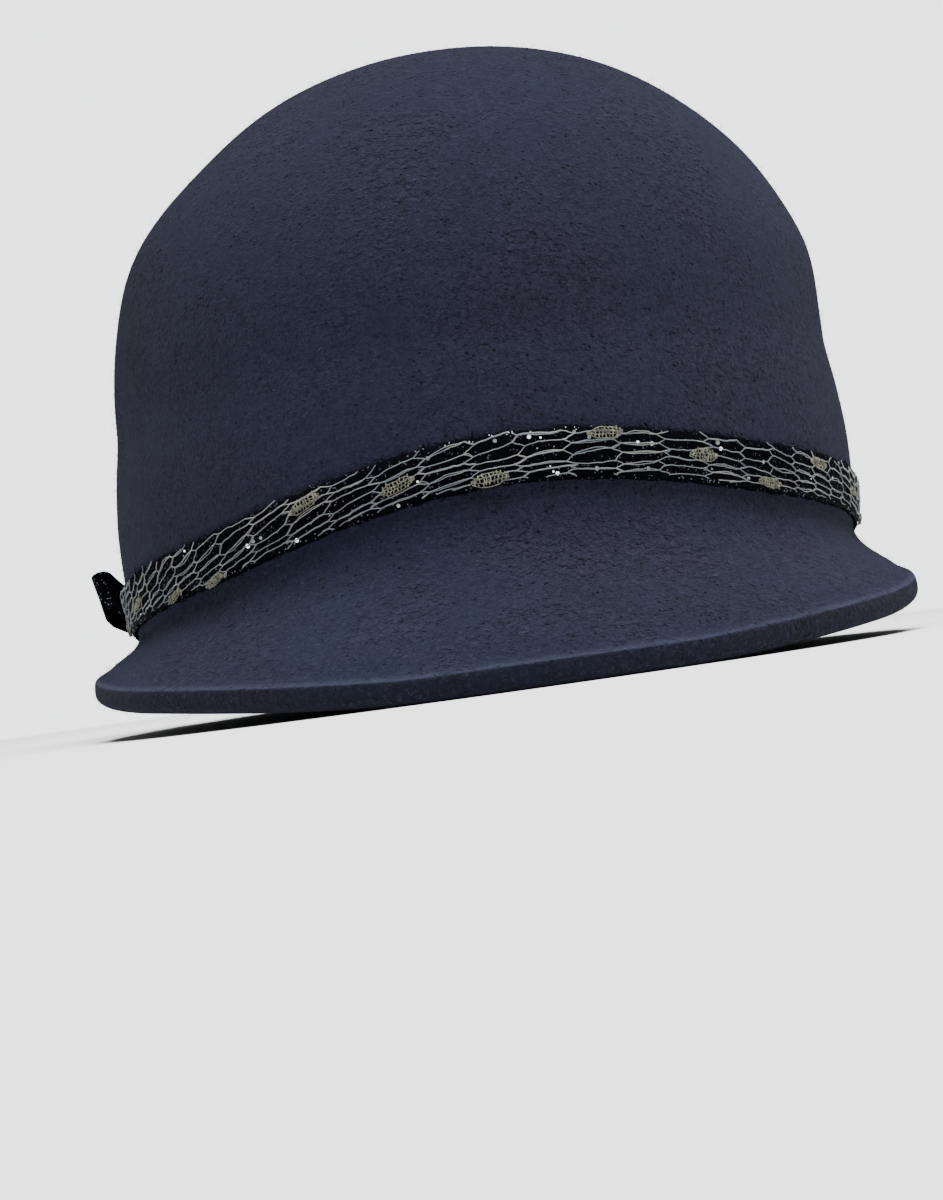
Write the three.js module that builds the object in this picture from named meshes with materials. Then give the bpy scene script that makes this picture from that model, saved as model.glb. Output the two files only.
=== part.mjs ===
// A wool felt cloche hat with a blocked round crown, a brim whose edge is turned under, a narrow
// glitter band covered with coarse dotted net, an inside sweatband and a small flat bow.
// Millimetres, +Z up. The front of the hat faces -Y and the wearer's left is +X.
// The hat rests on its brim at z = 0, and the middle of its footprint is the origin.
import * as THREE from "three";

// Crown, measured outside the felt.
const CROWN_WIDTH = 174;
const CROWN_DEPTH = 207;
const CROWN_HEIGHT = 150;
const SHOULDER = 0.46; // share of the height where the sides turn into the dome
const DOME_POWER = 2.33; // above 2 the dome is fuller than an ellipse
const TIP_LEAN_LEFT = 2.8;
const TIP_LEAN_BACK = 6.4;

// Felt and brim.
const FELT = 2.6;
const CREASE_HEIGHT = 38; // the front of the line where the crown turns into the brim
const BRIM_REACH = 23.4; // from the crease out to the middle of the front edge's fold
const SIDE_RISE = 11.4; // how far the brim lifts off the surface at the sides
const REST_FLAT = 0.7; // how much of that lift the soft edge gives up where it rests
const HEM_DEPTH = 8;
const HEM_GAP = 0.2; // between the two layers of the turned-under edge

// Band, net and sweatband.
const CLEAR = 0.3;
const BAND_WIDTH = 10;
const BAND_THICK = 0.9;
const NET_THICK = 0.6;
const NET_STRAND = 0.9;
const NET_COLUMNS = 56;
const NET_ROWS = 2;
const NET_DOT_RAISE = 0.5;
const SWEATBAND_WIDTH = 25;
const SWEATBAND_THICK = 0.9;
const SWEATBAND_DROP = 1; // how far it shows below the crease

// Bow on the wearer's right, towards the back.
const BOW_PLAN = -107;
const KNOT_LENGTH = 7;
const KNOT_WIDTH = 8;
const KNOT_THICK = 4.6;
const LOOP_LENGTH = 22;
const LOOP_WIDTH = 10;
const LOOP_PINCH = 0.6; // share of the loop's width that is left at the knot
const LOOP_THICK = 5;
const LOOP_NECK = 2.4;
const LOOP_CLOTH = 0.8;
const LOOP_LIFT = 15; // degrees that the loops stand off the crown
const BOW_TILT = 28; // degrees that the bow is turned, its front loop up

// How finely the surfaces are divided.
const ROUND = 64;
const OUTSIDE_STEPS = 11;
const BRIM_STEPS = 6;
const FOLD_STEPS = 4;
const INSIDE_STEPS = 8;

// The crown's side from the surface up to the shoulder. up is a share of CROWN_HEIGHT, and out
// a share of half the crown's width or depth.
const CROWN_SIDE = [
  { up: 0.0, out: 0.91 },
  { up: 0.1, out: 0.958 },
  { up: 0.2, out: 0.991 },
  { up: 0.3, out: 1.0 },
  { up: 0.38, out: 0.991 },
  { up: 0.46, out: 0.974 },
];

// The brim every 45 degrees, from the front round by the wearer's left. crease is a share of
// CREASE_HEIGHT, reach of BRIM_REACH and rise of SIDE_RISE. slope is the brim's fall in degrees
// where it meets its edge.
const BRIM_STATIONS = [
  { plan: 0, crease: 1.0, reach: 1.0, rise: 0.0, slope: 46 },
  { plan: 45, crease: 0.8, reach: 0.7, rise: 0.36, slope: 46 },
  { plan: 90, crease: 0.62, reach: 0.18, rise: 1.0, slope: 42 },
  { plan: 135, crease: 0.52, reach: 0.1, rise: 0.66, slope: 60 },
  { plan: 180, crease: 0.44, reach: 0.14, rise: 0.0, slope: 65 },
  { plan: 225, crease: 0.51, reach: 0.1, rise: 0.56, slope: 60 },
  { plan: 270, crease: 0.58, reach: 0.2, rise: 1.0, slope: 42 },
  { plan: 315, crease: 0.74, reach: 0.72, rise: 0.48, slope: 46 },
];

// Soft dimples and swellings of the crown. depth is a share of half the crown's width, inwards
// when it is positive, spread is in degrees and tall a share of the height.
const CROWN_DIMPLES = [
  { name: "right top dimple", plan: -70, up: 0.85, spread: 26, tall: 0.07, depth: 0.018 },
  { name: "right shoulder swell", plan: -75, up: 0.72, spread: 30, tall: 0.08, depth: -0.012 },
  { name: "left top flat", plan: 72, up: 0.84, spread: 30, tall: 0.08, depth: 0.012 },
  { name: "left shoulder swell", plan: 80, up: 0.6, spread: 28, tall: 0.07, depth: -0.014 },
];

const { PI, sin, cos, hypot, min, max } = Math;
const radians = (degrees) => (degrees * PI) / 180;
const mix = (a, b, t) => a + (b - a) * t;

// Hermite blend between two values with the slopes of their neighbours.
function smoothBetween(before, from, to, after, t) {
  const leaving = (to - before) / 2;
  const arriving = (after - from) / 2;
  const t2 = t * t;
  const t3 = t2 * t;
  return (
    from * (2 * t3 - 3 * t2 + 1) +
    leaving * (t3 - 2 * t2 + t) +
    to * (3 * t2 - 2 * t3) +
    arriving * (t3 - t2)
  );
}

// A column of BRIM_STATIONS at any plan angle in degrees.
function stationValue(column, plan) {
  const count = BRIM_STATIONS.length;
  const place = ((((plan % 360) + 360) % 360) / 360) * count;
  const first = Math.floor(place) % count;
  const value = (n) => BRIM_STATIONS[(first + n + count) % count][column];
  return smoothBetween(value(-1), value(0), value(1), value(2), place - Math.floor(place));
}

const creaseHeight = (plan) => CREASE_HEIGHT * stationValue("crease", plan);
const edgeReach = (plan) => BRIM_REACH * stationValue("reach", plan);
const edgeRise = (plan) => max(0, SIDE_RISE * stationValue("rise", plan) - REST_FLAT);

// The crown's outline at a height, as a share of its half width or depth.
function crownShare(up) {
  const last = CROWN_SIDE.length - 1;
  const row = (n) => CROWN_SIDE[min(max(n, 0), last)];
  const at = min(max(up, 0), row(last).up);
  const first = max(0, CROWN_SIDE.findIndex((r) => r.up >= at) - 1);
  const t = (at - row(first).up) / (row(first + 1).up - row(first).up);
  const side = smoothBetween(
    row(first - 1).out,
    row(first).out,
    row(first + 1).out,
    row(first + 2).out,
    t,
  );
  const overShoulder = max(0, (up - SHOULDER) / (1 - SHOULDER));
  return side * Math.sqrt(max(0, 1 - overShoulder ** DOME_POWER));
}

function dimpleDepth(plan, up) {
  let depth = 0;
  for (const dimple of CROWN_DIMPLES) {
    const turn = ((((plan - dimple.plan) % 360) + 540) % 360) - 180;
    const away = (turn / dimple.spread) ** 2 + ((up - dimple.up) / dimple.tall) ** 2;
    depth += ((dimple.depth * CROWN_WIDTH) / 2) * Math.exp(-away);
  }
  return depth;
}

// A section is drawn in the upright plane through the axis at one plan angle, as out and up.
function planDirection(plan) {
  const x = (CROWN_WIDTH / 2) * sin(radians(plan));
  const y = (-CROWN_DEPTH / 2) * cos(radians(plan));
  const reach = hypot(x, y);
  return { x: x / reach, y: y / reach, reach };
}

function crownRadius(plan, z) {
  const up = z / CROWN_HEIGHT;
  const share = crownShare(up);
  return planDirection(plan).reach * share - dimpleDepth(plan, up) * min(1, share * 2);
}

// A point of a section in the hat's own frame. The crown leans a little as it rises.
function place(plan, [out, z]) {
  const { x, y } = planDirection(plan);
  const lean = (z / CROWN_HEIGHT) ** 2;
  return new THREE.Vector3(x * out + TIP_LEAN_LEFT * lean, y * out + TIP_LEAN_BACK * lean, z);
}

// A point off the crown's wall, on the outside when off is positive, with the wall's own slope.
function wallSlope(plan, z) {
  const step = 0.5;
  return (crownRadius(plan, z + step) - crownRadius(plan, z - step)) / (2 * step);
}

function offWall(plan, z, off) {
  const slope = wallSlope(plan, z);
  const length = hypot(1, slope);
  return [crownRadius(plan, z) + off / length, z - (off * slope) / length];
}

// The brim's outer surface at one plan angle: a curve from the crease to the edge's fold.
const FOLD_RADIUS = FELT + HEM_GAP / 2;
const FOOT_HALF_ANGLE = 17; // degrees of the fold that lie flat on the surface, each way

function brimCurve(plan) {
  const crease = creaseHeight(plan);
  const start = [crownRadius(plan, crease), crease];
  const fall = radians(stationValue("slope", plan));
  const middle = [
    start[0] + edgeReach(plan),
    edgeRise(plan) + FOLD_RADIUS * cos(radians(FOOT_HALF_ANGLE)),
  ];
  const end = [middle[0] + FOLD_RADIUS * sin(fall), middle[1] + FOLD_RADIUS * cos(fall)];
  const length = hypot(end[0] - start[0], end[1] - start[1]);
  const slope = wallSlope(plan, crease);
  const down = [-slope / hypot(1, slope), -1 / hypot(1, slope)];
  const controls = [
    start,
    [start[0] + 0.35 * length * down[0], start[1] + 0.35 * length * down[1]],
    [end[0] - 0.4 * length * cos(fall), end[1] + 0.4 * length * sin(fall)],
    end,
  ];
  const blend = (w) => [0, 1].map((axis) => controls.reduce((s, c, i) => s + c[axis] * w[i], 0));
  const at = (t) => blend([(1 - t) ** 3, 3 * t * (1 - t) ** 2, 3 * t * t * (1 - t), t ** 3]);
  const along = (t) =>
    blend([-((1 - t) ** 2), (1 - t) * (1 - 3 * t), t * (2 - 3 * t), t * t]);
  const inward = (t, depth) => {
    const [dx, dz] = along(t);
    const [x, z] = at(t);
    const size = hypot(dx, dz);
    return [x + (depth * dz) / size, z - (depth * dx) / size];
  };
  return { at, inward, middle, fall, length };
}

// Heights of a wall's rows: up the strip that lies against it, then on over the dome, closer
// together towards the tip.
function wallRows(plan, strip, steps) {
  const crease = creaseHeight(plan);
  const top = crease + strip;
  const dome = Array.from({ length: steps }, (_, i) => sin(((i + 1) / (steps + 1)) * (PI / 2)));
  return [crease, crease + strip / 2, top, ...dome.map((s) => mix(top, CROWN_HEIGHT, s))];
}

// The felt's whole section at one plan angle, from below the tip outside to below it inside.
function feltSection(plan) {
  const brim = brimCurve(plan);
  const points = [];
  for (const z of wallRows(plan, BAND_WIDTH, OUTSIDE_STEPS).reverse()) {
    points.push([crownRadius(plan, z), z]);
  }
  for (let i = 1; i <= BRIM_STEPS; i++) points.push(brim.at(i / BRIM_STEPS));

  // The fold goes round from the top face to the flat foot and in under the hem.
  const [foldOut, foldUp] = brim.middle;
  const top = PI / 2 - brim.fall;
  const foot = -PI / 2 + radians(FOOT_HALF_ANGLE);
  const angles = [];
  for (let i = 1; i <= FOLD_STEPS; i++) angles.push(mix(top, foot, i / FOLD_STEPS));
  angles.push(-PI / 2 - radians(FOOT_HALF_ANGLE), top - PI);
  for (const a of angles) {
    points.push([foldOut + FOLD_RADIUS * cos(a), foldUp + FOLD_RADIUS * sin(a)]);
  }

  // The hem is two layers deep, and its cut edge steps back to the single wall.
  const hemEnd = 1 - min(0.8, HEM_DEPTH / brim.length);
  const step = 0.3 / brim.length;
  points.push(brim.inward((1 + hemEnd) / 2, 2 * FOLD_RADIUS));
  points.push(brim.inward(hemEnd, 2 * FOLD_RADIUS));
  points.push(brim.inward(hemEnd - step, FELT));
  points.push(brim.inward(hemEnd / 2, FELT));
  for (const z of wallRows(plan, SWEATBAND_WIDTH - SWEATBAND_DROP, INSIDE_STEPS)) {
    points.push(offWall(plan, z, -FELT));
  }
  return points;
}

const geometryOf = (triangles) =>
  new THREE.BufferGeometry().setFromPoints(triangles.flat());

// A closed skin over sections set round the hat. A section closes on itself, or else its two
// ends run to the poles given.
function skinRound(sections, poles) {
  const triangles = [];
  sections.forEach((section, i) => {
    const next = sections[(i + 1) % sections.length];
    const spans = poles ? section.length - 1 : section.length;
    for (let j = 0; j < spans; j++) {
      const k = (j + 1) % section.length;
      triangles.push([section[j], section[k], next[k]], [section[j], next[k], next[j]]);
    }
    if (poles) {
      const end = section.length - 1;
      triangles.push([poles[0], section[0], next[0]], [poles[1], next[end], section[end]]);
    }
  });
  return geometryOf(triangles);
}

const plansRound = Array.from({ length: ROUND }, (_, i) => (i * 360) / ROUND);

function feltGeometry() {
  const sections = plansRound.map((plan) => feltSection(plan).map((p) => place(plan, p)));
  const tips = [CROWN_HEIGHT, CROWN_HEIGHT - FELT].map((z) => place(0, [0, z]));
  return skinRound(sections, tips);
}

// A strip wrapped round the crown's wall, from a drop below the crease to its top edge above it.
function stripGeometry(topEdge, drop, inner, outer) {
  const rows = [topEdge, topEdge / 2, -drop];
  const corners = [...rows.map((up) => [up, outer]), ...rows.reverse().map((up) => [up, inner])];
  const sections = plansRound.map((plan) =>
    corners.map(([up, off]) => place(plan, offWall(plan, creaseHeight(plan) + up, off))),
  );
  return skinRound(sections);
}

const BAND_INNER = CLEAR;
const BAND_OUTER = BAND_INNER + BAND_THICK;
const NET_INNER = BAND_OUTER + CLEAR;
const NET_OUTER = NET_INNER + NET_THICK;

// Is this cell of the net woven shut as a dot? The dots step along the band and change rows.
const isDot = (column, row) => column % 5 === 2 && (column + row) % 2 === 0;

// The net is a ring of long six-sided cells in staggered columns. Each cell is a frame of half
// strands round its gap, and neighbours share their outer corners.
function netGeometry() {
  const cellTall = BAND_WIDTH / (NET_ROWS + 0.5);
  const pitch = 360 / NET_COLUMNS;
  const perimeter = (PI * (CROWN_WIDTH + CROWN_DEPTH)) / 2;
  const strand = (NET_STRAND / 2 / perimeter) * 360;
  const corner = pitch * 0.34;
  const point = pitch - corner;
  const vertex = (plan, up, off) => place(plan, offWall(plan, creaseHeight(plan) + up, off));
  const hexagon = (cu, cv, c, p, half) => [
    [cu - p, cv],
    [cu - c, cv - half],
    [cu + c, cv - half],
    [cu + p, cv],
    [cu + c, cv + half],
    [cu - c, cv + half],
  ];
  const triangles = [];
  const quad = (a, b, c, d) => triangles.push([a, b, c], [a, c, d]);
  const rim = new Map();
  for (let i = 0; i < NET_COLUMNS; i++) {
    for (let j = 0; j < NET_ROWS; j++) {
      const cu = i * pitch;
      const cv = (j + 0.5 + (i % 2) / 2) * cellTall;
      const edge = hexagon(cu, cv, corner, point, cellTall / 2);
      const gap = hexagon(
        cu,
        cv,
        corner - strand / 2,
        point - 2 * strand,
        (cellTall - NET_STRAND) / 2,
      );
      const dot = isDot(i, j);
      const raise = dot ? NET_DOT_RAISE : 0;
      const layer = (shape, off) => shape.map(([plan, up]) => vertex(plan, up, off));
      const [edgeIn, edgeOut] = [layer(edge, NET_INNER), layer(edge, NET_OUTER)];
      const [gapIn, gapOut] = [layer(gap, NET_INNER), layer(gap, NET_OUTER + raise)];
      for (let k = 0; k < 6; k++) {
        const n = (k + 1) % 6;
        quad(edgeOut[k], edgeOut[n], gapOut[n], gapOut[k]);
        quad(edgeIn[n], edgeIn[k], gapIn[k], gapIn[n]);
        if (!dot) quad(gapOut[k], gapOut[n], gapIn[n], gapIn[k]);
        const name = [edge[k], edge[n]]
          .map(([u, v]) => `${((u + 360) % 360).toFixed(3)},${v.toFixed(3)}`)
          .sort()
          .join(" ");
        if (rim.has(name)) rim.delete(name);
        else rim.set(name, [edgeOut[n], edgeOut[k], edgeIn[k], edgeIn[n]]);
      }
      if (dot) {
        for (let k = 1; k < 5; k++) {
          triangles.push([gapOut[0], gapOut[k], gapOut[k + 1]]);
          triangles.push([gapIn[0], gapIn[k + 1], gapIn[k]]);
        }
      }
    }
  }
  for (const wall of rim.values()) quad(...wall);
  return geometryOf(triangles);
}

// One bow loop, lying along +X from the knot, with its width along Y and its thickness along Z.
function loopGeometry() {
  const outline = (shape, start, neck, thick) => {
    const radius = thick / 2;
    const turn = LOOP_LENGTH - LOOP_THICK / 2;
    shape.moveTo(start, -neck / 2);
    shape.lineTo(turn, -radius);
    shape.absarc(turn, 0, radius, -PI / 2, PI / 2, false);
    shape.lineTo(start, neck / 2);
    shape.closePath();
    return shape;
  };
  const shape = outline(new THREE.Shape(), 0, LOOP_NECK, LOOP_THICK);
  const hole = outline(
    new THREE.Path(),
    LOOP_CLOTH,
    LOOP_NECK - 2 * LOOP_CLOTH,
    LOOP_THICK - 2 * LOOP_CLOTH,
  );
  shape.holes.push(hole);
  const geometry = new THREE.ExtrudeGeometry(shape, {
    depth: LOOP_WIDTH,
    steps: 1,
    bevelEnabled: false,
    curveSegments: 4,
  });
  geometry.translate(0, 0, -LOOP_WIDTH / 2);
  const position = geometry.getAttribute("position");
  for (let i = 0; i < position.count; i++) {
    const share = mix(LOOP_PINCH, 1, position.getX(i) / LOOP_LENGTH);
    position.setZ(i, position.getZ(i) * share);
  }
  return geometry.rotateX(-PI / 2);
}

// The knot is a short barrel of cloth round the inner ends of the loops.
function knotGeometry() {
  const shape = new THREE.Shape();
  const [w, t] = [KNOT_WIDTH / 2, KNOT_THICK];
  const r = t * 0.4;
  shape.moveTo(-w, 0);
  shape.lineTo(w, 0);
  shape.lineTo(w, t - r);
  shape.absarc(w - r, t - r, r, 0, PI / 2, false);
  shape.absarc(-w + r, t - r, r, PI / 2, PI, false);
  shape.closePath();
  const geometry = new THREE.ExtrudeGeometry(shape, {
    depth: KNOT_LENGTH,
    steps: 1,
    bevelEnabled: false,
    curveSegments: 4,
  });
  geometry.translate(0, 0, -KNOT_LENGTH / 2);
  return geometry.rotateX(PI / 2).rotateZ(PI / 2);
}

// The bow's own frame: X along the band, Y up the wall and Z straight out of it.
function bowGroup(cloth) {
  const up = creaseHeight(BOW_PLAN) + BAND_WIDTH / 2;
  const foot = place(BOW_PLAN, offWall(BOW_PLAN, up, NET_OUTER + NET_DOT_RAISE));
  const above = place(BOW_PLAN, offWall(BOW_PLAN, up + 1, NET_OUTER + NET_DOT_RAISE));
  const beside = place(BOW_PLAN + 1, offWall(BOW_PLAN + 1, up, NET_OUTER + NET_DOT_RAISE));
  const upWall = above.sub(foot).normalize();
  const outward = beside.sub(foot).cross(upWall).normalize();
  const alongBand = new THREE.Vector3().crossVectors(upWall, outward);
  const group = new THREE.Group();
  group.position.copy(foot).addScaledVector(outward, CLEAR);
  group.setRotationFromMatrix(new THREE.Matrix4().makeBasis(alongBand, upWall, outward));
  group.rotateZ(radians(BOW_TILT));
  group.add(piece("bow_knot", knotGeometry(), cloth));
  for (const [name, side] of [
    ["bow_loop_front", 1],
    ["bow_loop_back", -1],
  ]) {
    const loop = piece(name, loopGeometry(), cloth);
    const lift = radians(LOOP_LIFT);
    loop.position.set(side * (KNOT_LENGTH / 2 + CLEAR + LOOP_NECK * 0.2), 0, KNOT_THICK / 2);
    loop.rotation.set(0, side > 0 ? -lift : PI + lift, 0);
    group.add(loop);
  }
  return group;
}

function piece(name, geometry, material) {
  const mesh = new THREE.Mesh(geometry, material);
  mesh.name = name;
  return mesh;
}

const material = (color, roughness, metalness = 0) =>
  new THREE.MeshStandardMaterial({ color, roughness, metalness });

const felt = material(0x3a3f50, 0.95);
const glitterCloth = material(0x0b0c11, 0.55);
const netThread = material(0xb9b8ae, 0.7);
const ribbedRibbon = material(0x15191a, 0.7);

const hat = new THREE.Group();
hat.add(
  piece("felt_body", feltGeometry(), felt),
  piece("band_ribbon", stripGeometry(BAND_WIDTH, 0, BAND_INNER, BAND_OUTER), glitterCloth),
  piece("band_net", netGeometry(), netThread),
  piece(
    "sweatband",
    stripGeometry(
      SWEATBAND_WIDTH - SWEATBAND_DROP,
      SWEATBAND_DROP,
      -(FELT + CLEAR + SWEATBAND_THICK),
      -(FELT + CLEAR),
    ),
    ribbedRibbon,
  ),
  bowGroup(glitterCloth),
);

// The middle of the footprint goes to the origin.
const footprint = new THREE.Box3().setFromObject(hat).getCenter(new THREE.Vector3());
hat.position.set(-footprint.x, -footprint.y, 0);

export default hat;
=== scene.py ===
"""Looks of the felt cloche hat: wool felt, glitter band, net with woven dots, sweatband and bow.

Metres, +Z up, the hat's front towards -Y. The forms repeat the CAD's named sizes, so each
dressed piece lies on the solid that it stands for.
"""

import bmesh
import bpy
import numpy as np
from mathutils import Matrix, Vector


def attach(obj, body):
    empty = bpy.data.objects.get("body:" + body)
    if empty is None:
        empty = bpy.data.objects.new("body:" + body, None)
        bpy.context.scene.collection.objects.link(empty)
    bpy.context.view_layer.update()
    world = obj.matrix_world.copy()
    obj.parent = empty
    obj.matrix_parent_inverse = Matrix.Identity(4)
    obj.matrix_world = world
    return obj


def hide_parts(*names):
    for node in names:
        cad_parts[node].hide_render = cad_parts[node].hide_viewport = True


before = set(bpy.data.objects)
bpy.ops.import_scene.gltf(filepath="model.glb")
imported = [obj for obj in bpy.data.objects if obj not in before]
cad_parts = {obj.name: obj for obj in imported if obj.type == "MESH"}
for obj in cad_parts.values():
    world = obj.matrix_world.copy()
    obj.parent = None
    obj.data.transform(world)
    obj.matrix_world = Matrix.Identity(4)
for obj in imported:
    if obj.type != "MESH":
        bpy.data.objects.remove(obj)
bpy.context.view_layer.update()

MM = 0.001

# Crown and brim, in millimetres as in the CAD.
CROWN_WIDTH, CROWN_DEPTH, CROWN_HEIGHT = 174, 207, 150
SHOULDER, DOME_POWER = 0.46, 2.33
TIP_LEAN = (2.8, 6.4)
FELT = 2.6
CREASE_HEIGHT, BRIM_REACH, SIDE_RISE, REST_FLAT = 38, 23.4, 11.4, 0.7
HEM_DEPTH, HEM_GAP = 8, 0.2
FOLD_RADIUS = FELT + HEM_GAP / 2
FOOT_HALF_ANGLE = 17

# Band, net, sweatband and bow.
CLEAR = 0.3
BAND_WIDTH, BAND_THICK = 10, 0.9
BAND_OUTER = CLEAR + BAND_THICK
NET_THICK, NET_DOT_RAISE = 0.6, 0.5
SWEATBAND_WIDTH, SWEATBAND_THICK, SWEATBAND_DROP = 25, 0.9, 1

# Height share against width share up the crown's side.
CROWN_SIDE = np.array(
    [(0.0, 0.91), (0.1, 0.958), (0.2, 0.991), (0.3, 1.0), (0.38, 0.991), (0.46, 0.974)]
)

# Every 45 degrees from the front round by the wearer's left.
BRIM_STATIONS = {
    "crease": (1.0, 0.8, 0.62, 0.52, 0.44, 0.51, 0.58, 0.74),
    "reach": (1.0, 0.7, 0.18, 0.1, 0.14, 0.1, 0.2, 0.72),
    "rise": (0.0, 0.36, 1.0, 0.66, 0.0, 0.56, 1.0, 0.48),
    "slope": (46, 46, 42, 60, 65, 60, 42, 46),
}

# Plan angle, height share, spread in degrees, height spread and depth share of each dimple.
CROWN_DIMPLES = (
    (-70, 0.85, 26, 0.07, 0.018),
    (-75, 0.72, 30, 0.08, -0.012),
    (72, 0.84, 30, 0.08, 0.012),
    (80, 0.6, 28, 0.07, -0.014),
)


def smooth_between(before, start, end, after, t):
    leaving, arriving = (end - before) / 2, (after - start) / 2
    t2, t3 = t * t, t * t * t
    return (
        start * (2 * t3 - 3 * t2 + 1)
        + leaving * (t3 - 2 * t2 + t)
        + end * (3 * t2 - 2 * t3)
        + arriving * (t3 - t2)
    )


def station(column, plan):
    values = np.array(BRIM_STATIONS[column], float)
    place = (plan % 360) / 360 * len(values)
    first = np.floor(place).astype(int)
    before, start, end, after = (values[(first + n) % len(values)] for n in (-1, 0, 1, 2))
    return smooth_between(before, start, end, after, place - first)


def crease_height(plan):
    return CREASE_HEIGHT * station("crease", plan)


def crown_share(up):
    heights, widths = CROWN_SIDE.T
    last = len(heights) - 1
    at = np.clip(up, 0, heights[last])
    first = np.clip(np.searchsorted(heights, at, side="left") - 1, 0, last - 1)
    t = (at - heights[first]) / (heights[first + 1] - heights[first])
    before, start, end, after = (widths[np.clip(first + n, 0, last)] for n in (-1, 0, 1, 2))
    over = np.clip((up - SHOULDER) / (1 - SHOULDER), 0, 1)
    return smooth_between(before, start, end, after, t) * np.sqrt(1 - over**DOME_POWER)


def plan_direction(plan):
    angle = np.radians(plan)
    x, y = CROWN_WIDTH / 2 * np.sin(angle), -CROWN_DEPTH / 2 * np.cos(angle)
    reach = np.hypot(x, y)
    return x / reach, y / reach, reach


def crown_radius(plan, z):
    up = z / CROWN_HEIGHT
    share = crown_share(up)
    depth = 0
    for at, height, spread, tall, deep in CROWN_DIMPLES:
        turn = (plan - at) % 360
        turn = np.where(turn > 180, turn - 360, turn)
        away = (turn / spread) ** 2 + ((up - height) / tall) ** 2
        depth = depth + deep * CROWN_WIDTH / 2 * np.exp(-away)
    return plan_direction(plan)[2] * share - depth * np.minimum(1, share * 2)


def wall_slope(plan, z):
    return crown_radius(plan, z + 0.5) - crown_radius(plan, z - 0.5)


def off_wall(plan, z, off):
    """Out and up of a point that lies off the crown's wall, outside it when off is positive."""
    slope = wall_slope(plan, z)
    length = np.hypot(1, slope)
    return crown_radius(plan, z) + off / length, z - off * slope / length


def brim_frame(plan):
    """The brim's controls, the middle of its edge's fold and its fall, at each plan angle."""
    crease = crease_height(plan)
    start = np.stack([crown_radius(plan, crease), crease], -1)
    fall = np.radians(station("slope", plan))
    rise = np.maximum(0, SIDE_RISE * station("rise", plan) - REST_FLAT)
    foot = FOLD_RADIUS * np.cos(np.radians(FOOT_HALF_ANGLE))
    middle = np.stack([start[..., 0] + BRIM_REACH * station("reach", plan), rise + foot], -1)
    end = middle + FOLD_RADIUS * np.stack([np.sin(fall), np.cos(fall)], -1)
    length = np.hypot(*np.moveaxis(end - start, -1, 0))[..., None]
    slope = wall_slope(plan, crease)
    down = np.stack([-slope, -np.ones_like(slope)], -1) / np.hypot(1, slope)[..., None]
    inward = np.stack([-np.cos(fall), np.sin(fall)], -1)
    controls = (start, start + 0.35 * length * down, end + 0.4 * length * inward, end)
    return controls, middle, fall, length[..., 0]


def brim_at(controls, t, depth=0.0):
    """A point of the brim a share t of the way out, and depth in from its outer face."""
    weights = ((1 - t) ** 3, 3 * t * (1 - t) ** 2, 3 * t * t * (1 - t), t**3)
    slopes = (-((1 - t) ** 2), (1 - t) * (1 - 3 * t), t * (2 - 3 * t), t * t)
    point = sum(w[..., None] * c for w, c in zip(weights, controls))
    along = sum(w[..., None] * c for w, c in zip(slopes, controls))
    size = np.hypot(along[..., 0], along[..., 1])
    side = np.stack([along[..., 1], -along[..., 0]], -1) / size[..., None]
    return point + np.asarray(depth)[..., None] * side


# The crown's tip in the CAD fixes the middle of the hat on the floor.
tip = max((v.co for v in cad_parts["felt_body"].data.vertices), key=lambda co: co.z)
CENTRE = (tip.x / MM - TIP_LEAN[0], tip.y / MM - TIP_LEAN[1])


def placed(plan, out, z):
    """Points in metres in the hat's own frame, from a plan angle and an out and up in it."""
    x, y, _ = plan_direction(plan)
    lean = (z / CROWN_HEIGHT) ** 2
    x = x * out + TIP_LEAN[0] * lean + CENTRE[0]
    y = y * out + TIP_LEAN[1] * lean + CENTRE[1]
    return MM * np.stack(np.broadcast_arrays(x, y, z), -1)


def on_band(plan, up, off):
    """A point over the band: up in millimetres from the crease, off the crown's wall."""
    return placed(plan, *off_wall(plan, crease_height(plan) + up, off))


def soft_waves(plan, height, seed, amount, turns=(2, 3, 5, 8, 13), slant=0.12):
    """Unevenness of hand-shaped cloth, in millimetres, the same after a full turn."""
    random = np.random.default_rng(seed)
    total = 0
    for count in turns:
        phase, lift = random.uniform(0, 2 * np.pi), random.uniform(-slant, slant)
        wave = np.sin(np.radians(plan) * count + phase + height * lift)
        total = total + wave / (count / turns[0]) ** 0.6
    return amount * total / 3


# Meshes and Geometry Nodes.
def mesh_object(name, points, faces=(), edges=(), **attributes):
    """A linked object. An attribute has a number or a vector for each point."""
    mesh = bpy.data.meshes.new(name)
    mesh.from_pydata(np.asarray(points).reshape(-1, 3).tolist(), edges, faces)
    for key, values in attributes.items():
        values = np.asarray(values, np.float32)
        kind, field = ("FLOAT_VECTOR", "vector") if values.ndim == 2 else ("FLOAT", "value")
        mesh.attributes.new(key, kind, "POINT").data.foreach_set(field, values.ravel())
    mesh.shade_smooth()
    piece = bpy.data.objects.new(name, mesh)
    bpy.context.scene.collection.objects.link(piece)
    return piece


def skin_faces(sections, along, ring=True, closed=True):
    """Quads between sections of along points. ring joins last to first, closed each one's ends."""
    faces = []
    for i in range(sections if ring else sections - 1):
        here, there = i * along, (i + 1) % sections * along
        for j in range(along if closed else along - 1):
            k = (j + 1) % along
            faces.append((here + j, here + k, there + k, there + j))
    return faces


def outward_faces(piece):
    shape = bmesh.new()
    shape.from_mesh(piece.data)
    bmesh.ops.recalc_face_normals(shape, faces=shape.faces)
    shape.to_mesh(piece.data)
    shape.free()


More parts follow.
